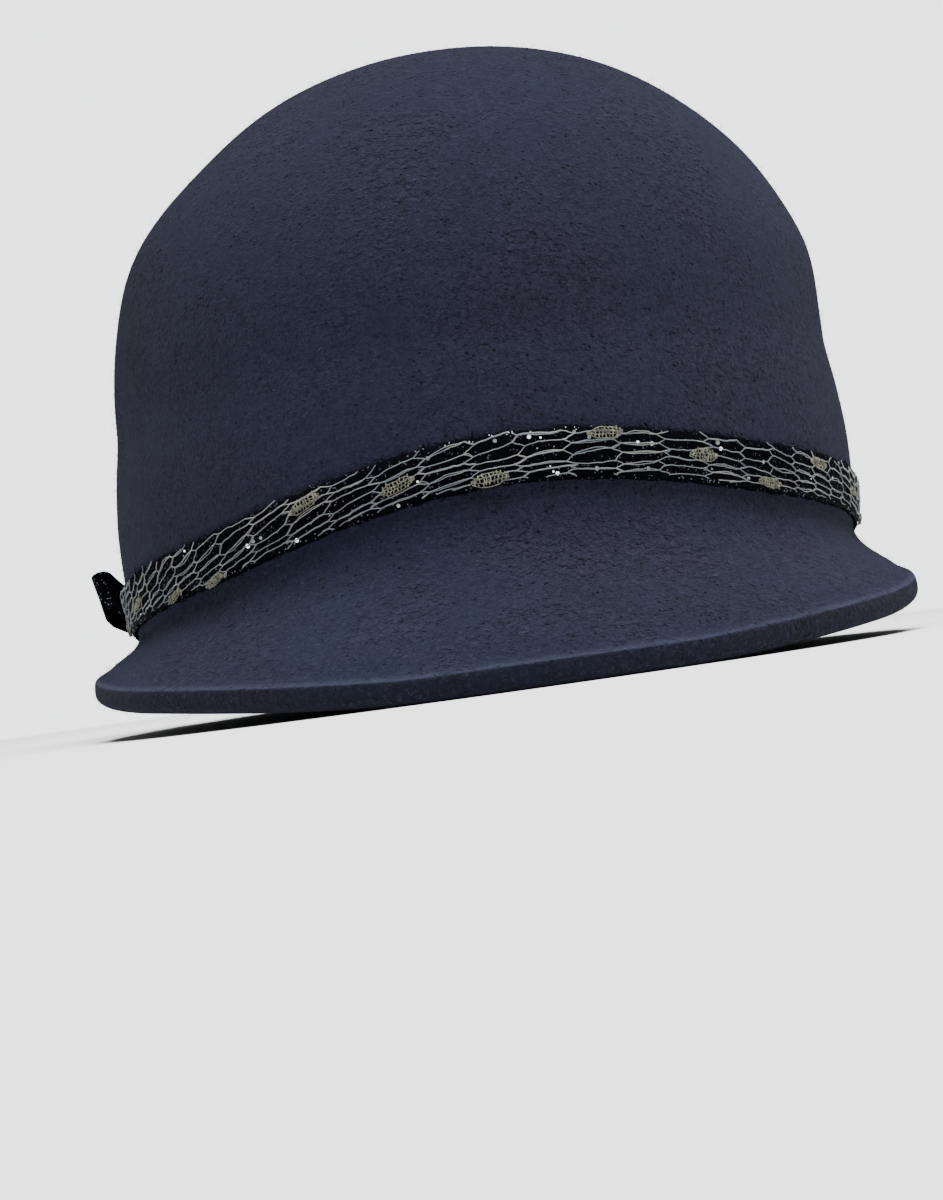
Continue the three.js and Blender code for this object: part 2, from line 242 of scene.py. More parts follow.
def lay_uv(piece, u, v):
    """A UV map in metres from two values at each vertex."""
    layer = piece.data.uv_layers.new(name="cloth")
    corners = np.array([loop.vertex_index for loop in piece.data.loops])
    uv = np.stack([np.asarray(u).ravel()[corners], np.asarray(v).ravel()[corners]], -1)
    layer.data.foreach_set("uv", uv.astype(np.float32).ravel())


class Signal:
    """An output in a node tree. Arithmetic on it adds Math nodes."""

    def __init__(self, tree, socket):
        self.tree, self.socket = tree, socket

    def math(self, operation, *terms):
        sockets = dict(enumerate(terms))
        return self.tree.node("ShaderNodeMath", {"operation": operation}, sockets)

    def __add__(self, other):
        return self.math("ADD", self, other)

    def __sub__(self, other):
        return self.math("SUBTRACT", self, other)

    def __rsub__(self, other):
        return self.math("SUBTRACT", other, self)

    def __mul__(self, other):
        return self.math("MULTIPLY", self, other)

    __radd__, __rmul__ = __add__, __mul__

    def over(self, edge):
        return self.math("GREATER_THAN", self, edge)

    def ramp(self, low, high):
        """A smooth rise from 0 at low to 1 at high."""
        settings = {"interpolation_type": "SMOOTHSTEP"}
        sockets = {"Value": self, "From Min": low, "From Max": high}
        return self.tree.node("ShaderNodeMapRange", settings, sockets)


class Tree:
    """A node tree that is built by calls."""

    def __init__(self, tree):
        self.tree = tree

    def node(self, kind, settings=None, sockets=None, out=0):
        made = self.tree.nodes.new(kind)
        for key, value in (settings or {}).items():
            setattr(made, key, value)
        for key, value in (sockets or {}).items():
            entry = self.socket(made.inputs, key)
            if isinstance(value, Signal):
                self.tree.links.new(value.socket, entry)
            else:
                entry.default_value = value
        return Signal(self, self.socket(made.outputs, out))

    @staticmethod
    def socket(sockets, key):
        if isinstance(key, int):
            return sockets[key]
        exact = [s for s in sockets if s.identifier == key]
        return exact[0] if exact else next(s for s in sockets if s.name == key)


class Finish(Tree):
    """A material on Blender's Principled shader, in Object coordinates."""

    def __init__(self, name, constants):
        self.material = bpy.data.materials.new(name)
        self.material.use_nodes = True
        super().__init__(self.material.node_tree)
        self.shader = self.tree.nodes["Principled BSDF"]
        for key, value in constants.items():
            self.shader.inputs[key].default_value = value
        self.place = self.node("ShaderNodeTexCoord", out="Object")

    def feed(self, key, signal):
        self.tree.links.new(signal.socket, self.shader.inputs[key])

    def noise(self, scale, detail=3, roughness=0.5, distortion=0.0, vector=None):
        sockets = {"Vector": vector or self.place, "Scale": scale, "Detail": detail}
        sockets |= {"Roughness": roughness, "Distortion": distortion}
        return self.node("ShaderNodeTexNoise", {}, sockets, "Fac")

    def cells(self, scale, out="Distance"):
        return self.node("ShaderNodeTexVoronoi", {}, {"Vector": self.place, "Scale": scale}, out)

    def axis(self, name):
        return self.node("ShaderNodeSeparateXYZ", {}, {"Vector": self.place}, name)

    def stretched(self, scale):
        return self.node("ShaderNodeMapping", {}, {"Vector": self.place, "Scale": scale})

    def attribute(self, name):
        return self.node("ShaderNodeAttribute", {"attribute_name": name}, out="Fac")

    def blend(self, factor, first, second):
        sockets = {"Factor_Float": factor, "A_Color": first, "B_Color": second}
        return self.node("ShaderNodeMix", {"data_type": "RGBA"}, sockets, "Result_Color")

    def bump(self, height, distance, strength=1.0):
        sockets = {"Height": height, "Distance": distance, "Strength": strength}
        self.feed("Normal", self.node("ShaderNodeBump", {}, sockets, "Normal"))


def colour(red, green, blue):
    return (red, green, blue, 1.0)


# The floor fades out between these distances.
FLOOR_FADE = (0.42, 0.85)


# Finishes.
def wool_felt():
    """Blue and violet wool with pills, pits and nap; painted shade on the crown and the turned
    edge, a painted highlight on the rim.
    """
    felt = Finish("wool_felt", {"Specular IOR Level": 0.04, "Sheen Weight": 0.02})
    drift = felt.noise(13, 3, 0.55)
    patch = felt.noise(42, 3, 0.6)
    clump = felt.noise(330, 4, 0.62)
    nap = felt.noise(1150, 5, 0.75, 0.5)
    upright = felt.noise(1, 3, 0.65, 0.9, felt.stretched((2600, 2600, 900)))
    across = felt.noise(1, 3, 0.65, 0.9, felt.stretched((850, 950, 2600)))
    pits = 1 - felt.cells(700).ramp(0.05, 0.32)
    pits = pits * (0.15 + felt.noise(300, 2).ramp(0.48, 0.62) * 0.85)
    # Small raised pills of wool, thicker in some places than in others.
    pills = felt.noise(1, 3, 0.55, 0.4, felt.stretched((640, 640, 820))).ramp(0.46, 0.74)
    pills = pills * (0.2 + patch.ramp(0.42, 0.58) * 0.8)
    fold = felt.attribute("fold")
    # Mask of the painted shade on the turned edge and, below zero, of the painted highlight at the
    # rim, ragged by the nap.
    edge_shade_and_highlight = fold + (nap - 0.5) * 1.6
    tone = clump * 0.16 + nap * 0.5 + upright * 0.34
    blue, violet = colour(0.0138, 0.0172, 0.0335), colour(0.0225, 0.0214, 0.041)
    # A deep tone of the felt, used for its darker random grain and for painted shade on the crown.
    deep_tone_and_shade = colour(0.0085, 0.01, 0.0185)
    shade = felt.blend(drift.ramp(0.36, 0.62) * 0.6 + patch.ramp(0.4, 0.62) * 0.4, blue, violet)
    shade = felt.blend(tone.ramp(0.39, 0.57), deep_tone_and_shade, shade)
    shade = felt.blend(across.ramp(0.55, 0.75) * 0.5, shade, colour(0.046, 0.05, 0.08))
    # Painted shade: the crown above the brim is darkened a little, so the brim is paler than the
    # crown.
    crown = felt.axis("Z").ramp(CREASE_HEIGHT * MM, (CREASE_HEIGHT + 20) * MM)
    shade = felt.blend(crown * 0.12, shade, deep_tone_and_shade)
    shade = felt.blend(pits * 0.8, shade, colour(0.003, 0.0036, 0.0062))
    # Painted shade on the face of the turned edge, ragged by the nap.
    shade = felt.blend(edge_shade_and_highlight.ramp(0.15, 0.9) * 0.68, shade, colour(0.0042, 0.0048, 0.009))
    # The attribute fold is 1 on the face of the turned edge and -1 at the brim's rim; a painted
    # highlight lightens the rim.
    rim_highlight = (0 - edge_shade_and_highlight).ramp(0.2, 0.95) * 0.5
    shade = felt.blend(rim_highlight, shade, colour(0.044, 0.049, 0.08))
    lint = fold.ramp(0.1, 0.9) * nap.ramp(0.54, 0.66)
    shade = felt.blend(lint * 0.5, shade, colour(0.03, 0.033, 0.052))
    felt.feed("Base Color", shade)
    felt.feed("Roughness", 0.88 + nap * 0.12)
    height = pills * 0.6 + clump * 0.2 + nap * 0.3 + upright * 0.25 + across * 0.25 - pits * 0.45
    # The felt is rougher in some places, and pressed smoother in others and at the sides.
    beside = felt.axis("X")
    relief = 0.65 + drift.ramp(0.36, 0.62) * 0.7
    relief = relief * (1 - (beside * beside).ramp(0.002, 0.006) * 0.3)
    felt.bump(height * relief, 0.00125, 1.0)
    return felt.material


def felt_fibre():
    """One loose hair of the same wool, lighter where it catches the light."""
    fibre = Finish("felt_fibre", {"Specular IOR Level": 0.08})
    tint = fibre.noise(160, 2)
    shade = fibre.blend(tint.ramp(0.4, 0.6), colour(0.014, 0.017, 0.03), colour(0.032, 0.036, 0.06))
    fibre.feed("Base Color", shade)
    fibre.feed("Roughness", 0.8 + tint * 0.15)
    return fibre.material


def glitter_cloth():
    """Black woven cloth with a bright flake in a few of its cells."""
    cloth = Finish("glitter_cloth", {"Specular IOR Level": 0.01})
    weave = cloth.noise(2600, 2)
    grain = cloth.cells(4600, "Color")
    pick = cloth.node("ShaderNodeSeparateColor", {}, {"Color": grain}, "Red")
    flake = pick.over(0.975)
    shade = cloth.blend(weave, colour(0.0006, 0.0007, 0.0012), colour(0.0028, 0.0032, 0.0052))
    cloth.feed("Base Color", cloth.blend(flake, shade, colour(0.12, 0.13, 0.16)))
    cloth.feed("Metallic", flake * 0.9)
    cloth.feed("Roughness", 0.7 - flake * 0.4)
    cloth.bump(weave * 0.4 + pick * 0.6, 0.0004, 0.6)
    return cloth.material


def net_thread():
    """Pale twisted thread, silvery in some stretches and cream in others."""
    thread = Finish("net_thread", {"Specular IOR Level": 0.35, "Sheen Weight": 0.15})
    tint = thread.noise(150, 2)
    twist = thread.noise(5200, 2)
    cool, warm = colour(0.115, 0.138, 0.16), colour(0.215, 0.22, 0.205)
    shade = thread.blend(tint.ramp(0.42, 0.64), cool, warm)
    shade = thread.blend(twist.ramp(0.35, 0.65) * 0.45, shade, colour(0.08, 0.09, 0.1))
    thread.feed("Base Color", shade)
    thread.feed("Roughness", 0.5 + twist * 0.3)
    thread.bump(twist, 0.0001, 0.6)
    return thread.material


def dot_thread():
    """The duller cream-gold thread of the woven dots."""
    thread = Finish("dot_thread", {"Specular IOR Level": 0.4, "Sheen Weight": 0.2})
    tint = thread.noise(900, 3)
    shade = thread.blend(tint.ramp(0.38, 0.66), colour(0.07, 0.07, 0.048), colour(0.2, 0.2, 0.135))
    thread.feed("Base Color", shade)
    thread.feed("Roughness", 0.42 + tint * 0.3)
    thread.bump(thread.noise(6000, 2), 0.0001, 0.5)
    return thread.material


def bright_sequin():
    """Thin mirror-like discs, cool or warm in tone."""
    sequin = Finish("bright_sequin", {"Specular IOR Level": 0.6})
    tint = sequin.noise(700, 1)
    shade = sequin.blend(tint.ramp(0.4, 0.6), colour(0.82, 0.87, 0.95), colour(0.96, 0.93, 0.86))
    sequin.feed("Base Color", shade)
    sequin.feed("Metallic", 0.82 + tint * 0.1)
    sequin.feed("Roughness", 0.1 + tint * 0.12)
    return sequin.material


def grosgrain():
    """Black ribbon with upright ribs, slightly glossy."""
    ribbon = Finish("grosgrain", {"Specular IOR Level": 0.4, "Sheen Weight": 0.12})
    uv = ribbon.node("ShaderNodeUVMap", {"uv_map": "cloth"})
    wave = {"wave_type": "BANDS", "bands_direction": "X", "wave_profile": "SIN"}
    sockets = {"Vector": uv, "Scale": 330.0, "Distortion": 0.25, "Detail": 1.0}
    ribs = ribbon.node("ShaderNodeTexWave", wave, sockets, "Fac")
    weave = ribbon.noise(2400, 2)
    tone = ribbon.noise(30, 2)
    shade = ribbon.blend(ribs, colour(0.006, 0.008, 0.007), colour(0.02, 0.023, 0.021))
    shade = ribbon.blend(tone.ramp(0.4, 0.65) * 0.4, shade, colour(0.026, 0.028, 0.025))
    ribbon.feed("Base Color", shade)
    ribbon.feed("Roughness", 0.48 + weave * 0.25)
    ribbon.bump(ribs * 0.8 + weave * 0.25, 0.0002, 0.8)
    return ribbon.material


def pale_studio():
    """The floor's finish, which fades out with distance so that no horizon shows."""
    studio = Finish("pale_studio", {"Specular IOR Level": 0.2})
    tone = studio.noise(3, 2)
    shade = studio.blend(tone, colour(0.9, 0.903, 0.91), colour(0.92, 0.923, 0.928))
    studio.feed("Base Color", shade)
    studio.feed("Roughness", 0.75 + tone * 0.1)
    away = studio.node("ShaderNodeVectorMath", {"operation": "LENGTH"}, {0: studio.place}, "Value")
    studio.feed("Alpha", 1 - away.ramp(*FLOOR_FADE))
    return studio.material


FELT_FINISH, FIBRE_FINISH, GLITTER_FINISH = wool_felt(), felt_fibre(), glitter_cloth()
NET_FINISH, DOT_FINISH, SEQUIN_FINISH = net_thread(), dot_thread(), bright_sequin()
RIBBON_FINISH = grosgrain()


class Growth(Tree):
    """A Geometry Nodes tree with named inputs, run once on a base and kept as a plain mesh."""

    def __init__(self, name, **inputs):
        super().__init__(bpy.data.node_groups.new(name, "GeometryNodeTree"))
        face = self.tree.interface
        face.new_socket("Geometry", in_out="INPUT", socket_type="NodeSocketGeometry")
        face.new_socket("Geometry", in_out="OUTPUT", socket_type="NodeSocketGeometry")
        kinds = {int: "NodeSocketInt", float: "NodeSocketFloat"}
        self.inputs = inputs
        for key, value in inputs.items():
            kind = kinds.get(type(value), "NodeSocketObject")
            face.new_socket(key, in_out="INPUT", socket_type=kind)
        self.start = self.tree.nodes.new("NodeGroupInput")
        self.base = self.given("Geometry")

    def given(self, name):
        return Signal(self, self.start.outputs[name])

    def named(self, name, kind="FLOAT"):
        """The base's own attribute of this name."""
        settings, sockets = {"data_type": kind}, {"Name": name}
        return self.node("GeometryNodeInputNamedAttribute", settings, sockets, "Attribute")

    def chance(self, low, high, salt):
        """A random number or vector for each element, between two like ones."""
        kind, suffix = ("FLOAT", "_001") if isinstance(low, float) else ("FLOAT_VECTOR", "")
        sockets = {"Min" + suffix: low, "Max" + suffix: high, "Seed": self.given("seed") + salt}
        return self.node("FunctionNodeRandomValue", {"data_type": kind}, sockets, "Value" + suffix)

    def strew(self, surface, stamp, tilts, scale):
        """Copies of a stamp strewn over a surface, turned at random between two tilts."""
        density = self.given("density") * self.named("loose")
        sockets = {"Mesh": surface, "Density": density, "Seed": self.given("seed")}
        points = self.node("GeometryNodeDistributePointsOnFaces", {}, sockets, "Points")
        upright = Signal(self, points.socket.node.outputs["Rotation"])
        spin = self.node("FunctionNodeEulerToRotation", {}, {0: self.chance(*tilts, 3)})
        sockets = {0: upright, 1: spin}
        facing = self.node("FunctionNodeRotateRotation", {"rotation_space": "LOCAL"}, sockets)
        stamp = self.node("GeometryNodeObjectInfo", {}, {"Object": stamp}, "Geometry")
        sockets = {"Points": points, "Instance": stamp, "Rotation": facing}
        sockets["Scale"] = self.chance(*scale, 7)
        return self.node("GeometryNodeInstanceOnPoints", {}, sockets)

    def finish(self, geometry, base, name, material):
        geometry = self.node("GeometryNodeRealizeInstances", {}, {"Geometry": geometry})
        sockets = {"Geometry": geometry, "Material": material}
        geometry = self.node("GeometryNodeSetMaterial", {}, sockets)
        end = self.tree.nodes.new("NodeGroupOutput")
        self.tree.links.new(geometry.socket, end.inputs["Geometry"])
        modifier = base.modifiers.new(name, "NODES")
        modifier.node_group = self.tree
        for item in self.tree.interface.items_tree:
            if item.in_out == "INPUT" and item.name in self.inputs:
                modifier[item.identifier] = self.inputs[item.name]
        grown = base.evaluated_get(bpy.context.evaluated_depsgraph_get())
        mesh = bpy.data.meshes.new_from_object(grown)
        mesh.name = name
        base.modifiers.remove(modifier)
        piece = bpy.data.objects.new(name, mesh)
        bpy.context.scene.collection.objects.link(piece)
        return piece


def hand_in(piece, slot, material, *nodes):
    """Gives a finished piece its material and the root body, and hides the CAD nodes that it stands
    for.
    """
    piece.data.materials.clear()
    piece.data.materials.append(material)
    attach(piece, "root")
    if nodes:
        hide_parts(*nodes)
    return piece


def drop(*pieces):
    for piece in pieces:
        bpy.data.objects.remove(piece)


# Felt crown and brim: rows of the profile down the crown, and rows before the inside begins.
CROWN_ROWS, INSIDE_ROW = 76, 160
# The dome's rows start and end at this share of a quarter turn, next to the tip.
NEAR_TIP = 0.985


def swell(along, height, place, width):
    """A soft rise of this height round a place along the profile."""
    return height * np.exp(-(((along - place) / width) ** 2))


def felt_sections(around):
    """Out, up and fold share of the felt's profile, plan by plan, from the tip round to it."""
    plan = np.arange(around)[:, None] * 360.0 / around
    crease = crease_height(plan)
    controls, middle, fall, length = brim_frame(plan)
    rows = []

    def run(out, up, fold=0.0):
        rows.append(np.broadcast_arrays(out, up, fold))

    def dome(first, last, count):
        shares = np.sin(np.linspace(first, last, count)[None, :] * np.pi / 2)
        return crease + (CROWN_HEIGHT - crease) * shares

    # Down the crown's outside.
    z = dome(NEAR_TIP, 0, CROWN_ROWS)
    run(crown_radius(plan, z), z)
    # Out along the brim. Its pressed edge stands a little proud just before it turns over.
    t = np.linspace(0, 1, 44)[None, 1:]
    before_edge = (t - 1) * length
    pressed = swell(before_edge, -0.28, 0, 1.1) + swell(before_edge, 0.2, -2.86, 1.3)
    brim = brim_at(controls, t, pressed)
    # The fold value falls to -1 at the brim's rim, where the felt gets a painted highlight.
    run(brim[..., 0], brim[..., 1], swell(before_edge, -1, 0, 1.0))
    # Half a turn round the edge, with a bead where it starts.
    turn = np.linspace(0, np.pi, 26)[None, 1:]
    bent = FOLD_RADIUS + swell(turn, 0.28, 0, 0.3) + swell(turn, -0.22, 0.75, 0.5)
    angle = np.pi / 2 - fall - turn
    up = np.maximum(0, middle[..., 1] + bent * np.sin(angle))
    # The fold value is 1 on the face of the turned edge, where the felt gets painted shade.
    face = np.clip((turn + 0.1) / 0.3, -1, 1) * np.clip((2.9 - turn) / 0.8, 0, 1)
    run(middle[..., 0] + bent * np.cos(angle), up, face)
    # Back under the brim to the hem's cut edge, which thins to a lip.
    hem = np.minimum(0.8, HEM_DEPTH / length)
    t = 1 - hem * np.linspace(0, 1, 14)[None, 1:]
    lip = np.linspace(0, 1, 13)[None, :] ** 6 * 0.9
    inner = brim_at(controls, t, 2 * FOLD_RADIUS - lip)
    run(inner[..., 0], inner[..., 1])
    # Down off the hem onto the brim's own underside, and in to the crease.
    t = np.maximum(1 - hem - np.array([0.25, 0.9, 1.6])[None, :] / length, 0.02)
    inner = brim_at(controls, t, FELT + np.array([1.1, 0.25, 0.0]))
    run(inner[..., 0], inner[..., 1])
    inner = brim_at(controls, t[:, -1:] * np.linspace(1, 0, 16)[None, 1:], FELT)
    run(inner[..., 0], inner[..., 1])
    # Up the crown's inside.
    z = dome(0, NEAR_TIP, 50)[:, 1:]
    run(*off_wall(plan, z, -FELT))
    return plan, *(np.concatenate(part, 1) for part in zip(*rows))


def felt_hat():
    around = 320
    plan, out, up, fold = felt_sections(around)
    along = out.shape[1]
    row = np.arange(along)
    above_floor = np.clip((up - 0.6) / 6, 0, 1)
    out = out + above_floor * soft_waves(plan, up * 0.3, 5, 0.28)
    # Loose fibres stand neither under the band, nor near the floor, nor inside over the hem,
    # where the felt is pressed smooth.
    covered = (row < CROWN_ROWS) & (up - crease_height(plan) < BAND_WIDTH + 1.5)
    loose = np.where(covered | (row > INSIDE_ROW), 0.0, np.clip((up - 2.2) / 2, 0, 1))
    centre = np.zeros(1)
    tips = [placed(centre, centre, np.full(1, z)) for z in (CROWN_HEIGHT, CROWN_HEIGHT - FELT)]
    points = np.vstack([placed(plan, out, up).reshape(-1, 3), *tips])
    faces = skin_faces(around, along, closed=False)
    outer, inner = len(points) - 2, len(points) - 1
    for i in range(around):
        here, there = i * along, (i + 1) % around * along
        faces.append((outer, here, there))
        faces.append((inner, there + along - 1, here + along - 1))
    fold, loose = np.append(fold.ravel(), [0, 0]), np.append(loose.ravel(), [1, 0])
    return mesh_object("felt_hat", points, faces, fold=fold, loose=loose)


felt = felt_hat()
hand_in(felt, "felt", FELT_FINISH, "felt_body")

FIBRE_LENGTH, FIBRE_RADIUS, FIBRE_ARCH = 1.7 * MM, 0.035 * MM, 0.35 * MM
FIBRES_A_SQUARE_METRE = 80000.0
# Least and most tilt of a fibre about its own axes, in radians, and its least and most size.
FIBRE_TILTS = ((-0.2, -0.75, 0.0), (0.2, 0.05, 6.283))
FIBRE_SIZES = (0.35, 1.25)


def thin_rod(name, length, radius, arch):
    """A thin closed rod along X from the origin, arched and tapering, as a stamp."""
    rings = sides = 3
    share = np.linspace(0, 1, rings)
    angle = np.arange(sides) * 2 * np.pi / sides
    points = [
        (length * s, r * np.cos(a), arch * np.sin(np.pi * s * 0.6) + r * np.sin(a))
        for s, r in zip(share, radius * (1 - 0.75 * share**3))
        for a in angle
    ]
    faces = skin_faces(rings, sides, ring=False)
    faces.append(tuple(reversed(range(sides))))
    faces.append(tuple(range((rings - 1) * sides, rings * sides)))
    return mesh_object(name, points, faces)


def felt_fuzz():
    """Loose wool fibres that stand off the felt."""
    stamp = thin_rod("fibre_stamp", FIBRE_LENGTH, FIBRE_RADIUS, FIBRE_ARCH)
    tree = Growth("fibres_on_felt", fibre=stamp, density=FIBRES_A_SQUARE_METRE, seed=11)
    made = tree.strew(tree.base, tree.given("fibre"), FIBRE_TILTS, FIBRE_SIZES)
    fuzz = tree.finish(made, felt, "felt_fuzz", FIBRE_FINISH)
    drop(stamp)
    return hand_in(fuzz, "felt", FIBRE_FINISH)


felt_fuzz()


# Strips that lie against the crown's wall.
def wall_strip(name, low, high, inner, outer, seed, fray):
    """A strip of cloth round the crown, with a little unevenness in its edges and its lie."""
    around, rows = 720, 9
    plan = np.arange(around)[:, None] * 360.0 / around
    share = np.linspace(0, 1, rows)[None, :]
    random = np.random.default_rng(seed)
    ragged = fray * random.uniform(-1, 1, (2, around, 1))
    ragged = (ragged + np.roll(ragged, 1, 1) + np.roll(ragged, -1, 1)) / 3
    bottom = low + soft_waves(plan, 0, seed + 1, 0.12) + ragged[0]
    top = high + soft_waves(plan, 0, seed + 2, 0.12) + ragged[1]
    up = bottom + (top - bottom) * share
    # The shown face is crowned: thinner by this much at its two edges.
    thinner = 0.25 * (1 - np.sin(np.pi * share) ** 0.3)
    lie = soft_waves(plan, up * 2, seed + 3, 0.05)
    front = on_band(plan, up[:, ::-1], outer - thinner + lie)
    points = np.concatenate([front, on_band(plan, up, inner)], 1)
    piece = mesh_object(name, points, skin_faces(around, 2 * rows))
    height = np.concatenate([up[:, ::-1], up], 1) * MM
    girth = np.pi * (CROWN_WIDTH + CROWN_DEPTH) / 2 * MM
    lay_uv(piece, np.broadcast_to(plan / 360 * girth, height.shape), height)
    return piece


band = wall_strip("glitter_band", 0, BAND_WIDTH, CLEAR, BAND_OUTER, seed=21, fray=0.3)
hand_in(band, "glitter_cloth", GLITTER_FINISH, "band_ribbon")
low, high = -SWEATBAND_DROP, SWEATBAND_WIDTH - SWEATBAND_DROP
back = -(FELT + CLEAR)
face = back - SWEATBAND_THICK
sweatband = wall_strip("inside_sweatband", low, high, back, face, seed=31, fray=0.05)
# The sweatband's shown face looks inwards, so its faces are turned.
sweatband.data.flip_normals()
hand_in(sweatband, "sweatband_ribbon", RIBBON_FINISH, "sweatband")

# Net over the band: cells round the hat, a cell's height, and the rows climbed in one turn.
NET_COLUMNS, NET_ROW, NET_RISE_ROWS = 80, 1.85, 12
NET_LOW, NET_HIGH = 0.8, 10.0
# Degrees that the cells are pulled along the band, twice round the hat.
NET_PULL = 11.5
# The net's long lines climb over the band left of the front: heights and turns of that wave.
NET_CLIMB = ((2.0, 1), (9.0, 2))
NET_CLIMB_TURN = 32
# Under this height the threads are gathered to this share of their spacing.
NET_GATHERED, NET_GATHER_SHARE = 3.4, 0.72
NET_OFF = BAND_OUTER + 0.25
NET_RADIUS, NET_WANDER = 0.112, 0.16
# Thicknesses of the threads against NET_RADIUS, and how often each comes.
THREAD_SHARES, THREAD_ODDS = (0.85, 1.0, 1.35), (0.45, 0.35, 0.2)
# How often a cell's upper, right-hand upper and right-hand lower thread is doubled.
DOUBLED_ODDS, DOUBLED_SHARE = (0.5, 0.15, 0.15), 0.8


def net_warp(plan, up):
    """Pulls the even net out of true, as cloth laid by hand: long in front and tight behind."""
    pull = NET_PULL * np.sin(2 * np.radians(plan))
    sway = soft_waves(plan, up, 51, 0.8) + soft_waves(plan, up, 53, 0.7, (17, 29, 41, 67), 1.3)
    for height, turns in NET_CLIMB:
        sway = sway + height * np.sin(turns * np.radians(plan + NET_CLIMB_TURN))
    shift = soft_waves(plan, up, 52, 1.0, (11, 19, 37), 1.1)
    up = up + sway
    gather = (1 - NET_GATHER_SHARE) * np.clip(NET_GATHERED - up, 0, None)
    return plan + pull + shift, up + gather


def net_threads():
    """Points of each thread of the net as plan angle and height, and its share of thickness."""
    random = np.random.default_rng(41)
    pitch, slope = 360 / NET_COLUMNS, NET_RISE_ROWS * NET_ROW / 360
    corner, point = 0.4 * pitch, 0.6 * pitch
    reach = int(sum(height for height, _ in NET_CLIMB) / NET_ROW) + 3
    threads, shares = [], []
    for i in range(NET_COLUMNS):
        for j in range(-NET_RISE_ROWS - reach, int(NET_HIGH / NET_ROW) + reach):
            cu = i * pitch
            cv = (j + 0.5 + (i % 2) / 2) * NET_ROW + slope * cu
            shape = [(-corner, 0.5), (corner, 0.5), (point, 0.0), (corner, -0.5)]
            at = [np.array((cu + u, cv + v * NET_ROW + slope * u)) for u, v in shape]
            for k, (a, b) in enumerate(zip(at, at[1:])):
                threads.append((a, (a + b) / 2, b))
                shares.append(random.choice(THREAD_SHARES, p=THREAD_ODDS))
                if random.random() < DOUBLED_ODDS[k]:
                    bulge = np.array((0.0, random.choice((-1, 1)) * random.uniform(0.25, 0.5)))
                    threads.append((a, (a + b) / 2 + bulge, b))
                    shares.append(DOUBLED_SHARE)
    # Each thread runs through its two ends and its middle.
    t = np.linspace(0, 1, 9)[:, None]
    a, middle, b = np.moveaxis(np.array(threads)[:, :, None], 1, 0)
    bent = a * (1 - t) * (1 - 2 * t) + middle * 4 * t * (1 - t) + b * t * (2 * t - 1)
    plan, up = net_warp(bent[..., 0], bent[..., 1])
    near = (up.max(1) > NET_LOW - 0.5) & (up.min(1) < NET_HIGH + 1)
    return np.stack([plan, up], -1)[near], np.array(shares)[near]


def clipped(line, low, high):
    """The runs of a thread's points that lie between two heights."""
    inside = (line[:, 1] > low) & (line[:, 1] < high)
    ends = np.flatnonzero(np.diff(np.concatenate([[0], inside, [0]])))
    return [line[a:b] for a, b in zip(ends[::2], ends[1::2]) if b - a > 1]


def thread_tubes(name, lines, material, radius, wander):
    """Round threads along lines of points in metres, each with its share of the radius."""
    points, edges, thick = [], [], []
    for line, share in lines:
        edges += [(len(points) + i, len(points) + i + 1) for i in range(len(line) - 1)]
        points += [tuple(point) for point in line]
        thick += [share] * len(line)
    base = mesh_object(name + "_lines", points, edges=edges, thick=thick)

    tree = Growth("tubes_of_" + name, radius=radius * MM, wander=wander * MM, seed=5)
    line = tree.node("GeometryNodeMeshToCurve", {}, {"Mesh": tree.base})
    place = tree.node("GeometryNodeInputPosition")
    drift = tree.node("ShaderNodeTexNoise", {}, {"Vector": place, "Scale": 650.0}, "Color")
    sockets = {0: drift, 1: (0.5, 0.5, 0.5)}
    centred = tree.node("ShaderNodeVectorMath", {"operation": "SUBTRACT"}, sockets)
    sockets = {0: centred, "Scale": tree.given("wander") * 4}
    offset = tree.node("ShaderNodeVectorMath", {"operation": "SCALE"}, sockets)
    line = tree.node("GeometryNodeSetPosition", {}, {"Geometry": line, "Offset": offset})
    profile = tree.node("GeometryNodeCurvePrimitiveCircle", {}, {"Resolution": 5, "Radius": 1.0})
    tube = {"Curve": line, "Profile Curve": profile, "Fill Caps": True}
    tube["Scale"] = tree.named("thick") * tree.given("radius")
    made = tree.node("GeometryNodeCurveToMesh", {}, tube)
    piece = tree.finish(made, base, name, material)
    drop(base)
    piece.data.shade_smooth()
    return piece


def dotted_net():
    """The net's threads, cut unevenly at the band's edges, with the ends standing off a little."""
    random = np.random.default_rng(61)
    lines = []
    for thread, share in zip(*net_threads()):
        end = random.uniform(-0.6, 0.3)
        for run in clipped(thread, NET_LOW - 0.5 * end, NET_HIGH + end):
            if run[:, 1].min() > NET_HIGH - 0.8:
                continue
            off = NET_OFF + 0.12 * random.random() + 0.5 * np.clip(run[:, 1] - 9.6, 0, 1)
            lines.append((on_band(run[:, 0], run[:, 1], off), share))
    net = thread_tubes("dotted_net", lines, NET_FINISH, NET_RADIUS, NET_WANDER)
    return hand_in(net, "net_thread", NET_FINISH, "band_net")


dotted_net()

# Plan angle and height over the crease of each dot woven into the net, as they show in front.
DOT_PLACES = (
    (-64.1, 3.7), (-51.1, 1.3), (-41.4, 0.8), (-25.0, 7.4), (-12.4, 4.5), (-1.0, 1.7),
    (14.0, 8.7), (27.4, 5.6), (38.6, 1.9), (50.7, 7.6), (65.1, 4.6),
)
DOT_LONG, DOT_TALL, DOT_CORDS = 6.0, 2.4, 9
DOT_STEP, DOTS_BEHIND, DOT_HEIGHTS_BEHIND = 13.4, 16, (1.9, 8.0, 5.0)
DOT_RADIUS = 0.118
# How much the dots at the sides slope towards the back.
DOT_DROOP = 0.16


